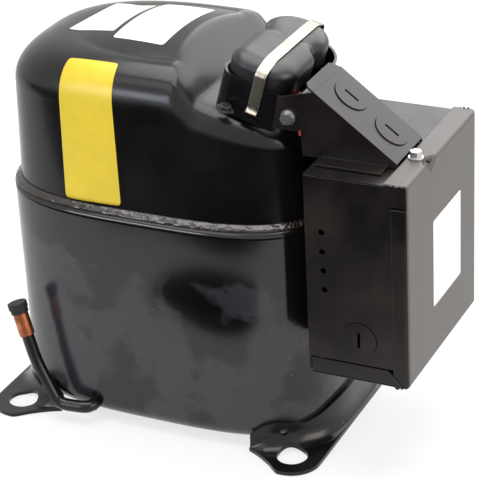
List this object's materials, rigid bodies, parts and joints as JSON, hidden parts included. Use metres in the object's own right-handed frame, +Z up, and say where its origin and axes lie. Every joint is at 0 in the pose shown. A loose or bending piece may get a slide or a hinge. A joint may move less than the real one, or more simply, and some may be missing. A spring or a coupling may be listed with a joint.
{
  "type": "hermetic reciprocating compressor",
  "caption": "Hermetic reciprocating refrigeration compressor: welded oval shell on two stamped feet, terminal cover with bail, side relay box, twin-piston pump on springs.",
  "frame": {"origin": "centre of the four-hole mounting pattern, on the plane the feet rest on", "axes": "+X towards the relay box, -Y the long side with the discharge tube, +Z up"},
  "size_m": [0.2895, 0.1782, 0.2553],
  "materials": {
    "black_enamel": "gloss black baked enamel on pressed steel",
    "box_black": "satin black painted sheet steel",
    "copper": "bare copper, slightly oxidised",
    "rubber": "matte black rubber",
    "moulded_black": "satin black moulded plastic",
    "stainless": "brushed stainless spring strip",
    "zinc": "zinc-plated steel",
    "glass_seal": "fused glass bead",
    "bare_steel": "machined or laminated bare steel",
    "iron": "grey cast iron",
    "alloy": "die-cast aluminium",
    "bronze": "sintered bronze",
    "winding": "varnished copper winding",
    "wire_red": "red wire insulation"
  },
  "bodies": {
    "housing": {"lower_shell": "black_enamel", "upper_shell": "black_enamel", "weld_bead": "black_enamel", "foot_right": "black_enamel", "foot_left": "black_enamel", "box_bracket": "black_enamel", "discharge_tube": "black_enamel", "discharge_stub": "copper", "suction_tube": "copper", "terminal_block": "bare_steel", "terminal_glass": "glass_seal", "terminal_pins": "zinc", "terminal_fence": "black_enamel", "ground_lug": "zinc", "ground_screw": "zinc", "relay_box": "box_black", "box_arm": "box_black", "arm_screw": "zinc", "knockout_slugs": "box_black", "start_relay": "moulded_black", "start_capacitor": "moulded_black", "run_capacitor": "alloy", "capacitor_clips": "zinc", "lead_wires": "wire_red", "spring_seats": "bare_steel"},
    "pump": {"stator_core": "bare_steel", "end_windings": "winding", "stator_bolts": "bare_steel", "crankcase": "iron", "main_bearing": "bronze", "right_cylinder": "iron", "left_cylinder": "iron", "valve_plates": "bare_steel", "cylinder_heads": "alloy", "head_bolts": "bare_steel", "discharge_muffler": "bare_steel", "discharge_loop": "bare_steel", "suspension_springs": "bare_steel"},
    "crank": {"crankshaft": "bare_steel", "counterweight": "bare_steel", "rotor": "bare_steel", "oil_pickup": "bare_steel"},
    "right_piston_group": {"right_piston": "alloy", "right_piston_rings": "iron", "right_wrist_pin": "bare_steel"},
    "left_piston_group": {"left_piston": "alloy", "left_piston_rings": "iron", "left_wrist_pin": "bare_steel"},
    "right_rod_group": {"right_rod": "alloy", "right_rod_bush": "bronze"},
    "left_rod_group": {"left_rod": "alloy", "left_rod_bush": "bronze"},
    "terminal_cap": {"terminal_cover": "moulded_black"},
    "bail": {"bail_strap": "stainless"},
    "box_lid": {"box_cover": "box_black", "cover_screw": "zinc"},
    "discharge_plug": {"discharge_cap": "rubber"},
    "suction_plug": {"suction_cap": "rubber"}
  },
  "joints": [
    {"name": "pump_float", "type": "slide", "parent": "housing", "child": "pump", "axis": [0, 0, 1], "range_m": [-0.002, 0.002], "stiffness_N_per_m": 60000, "springref_m": 0.0017, "deforming": ["suspension_springs", "discharge_loop"]},
    {"name": "crank_spin", "type": "hinge", "parent": "pump", "child": "crank", "pos_m": [0, 0, 0.1], "axis": [0, 0, 1], "continuous": true},
    {"name": "right_piston_slide", "type": "slide", "parent": "pump", "child": "right_piston_group", "axis": [1, 0, 0], "range_m": [-0.00899, 0.01101]},
    {"name": "left_piston_slide", "type": "slide", "parent": "pump", "child": "left_piston_group", "axis": [-1, 0, 0], "range_m": [-0.00899, 0.01101]},
    {"name": "right_rod_swing", "type": "hinge", "parent": "right_piston_group", "child": "right_rod_group", "pos_m": [0.04899, 0, 0.1661], "axis": [0, 0, 1], "range_deg": [0, 23.07]},
    {"name": "left_rod_swing", "type": "hinge", "parent": "left_piston_group", "child": "left_rod_group", "pos_m": [-0.04899, 0, 0.1771], "axis": [0, 0, 1], "range_deg": [-23.07, 0]},
    {"name": "cover_lift", "type": "slide", "parent": "housing", "child": "terminal_cap", "axis": [0.2756, 0, 0.9613], "range_m": [0, 0.045]},
    {"name": "bail_release", "type": "slide", "parent": "terminal_cap", "child": "bail", "axis": [0.2756, 0, 0.9613], "range_m": [0, 0.03]},
    {"name": "lid_slide", "type": "slide", "parent": "housing", "child": "box_lid", "axis": [1, 0, 0], "range_m": [0, 0.07]},
    {"name": "discharge_cap_pull", "type": "slide", "parent": "housing", "child": "discharge_plug", "axis": [-0.2744, 0.0457, 0.9605], "range_m": [0, 0.09]},
    {"name": "suction_cap_pull", "type": "slide", "parent": "housing", "child": "suction_plug", "axis": [-1, 0, 0], "range_m": [0, 0.09]}
  ]
}
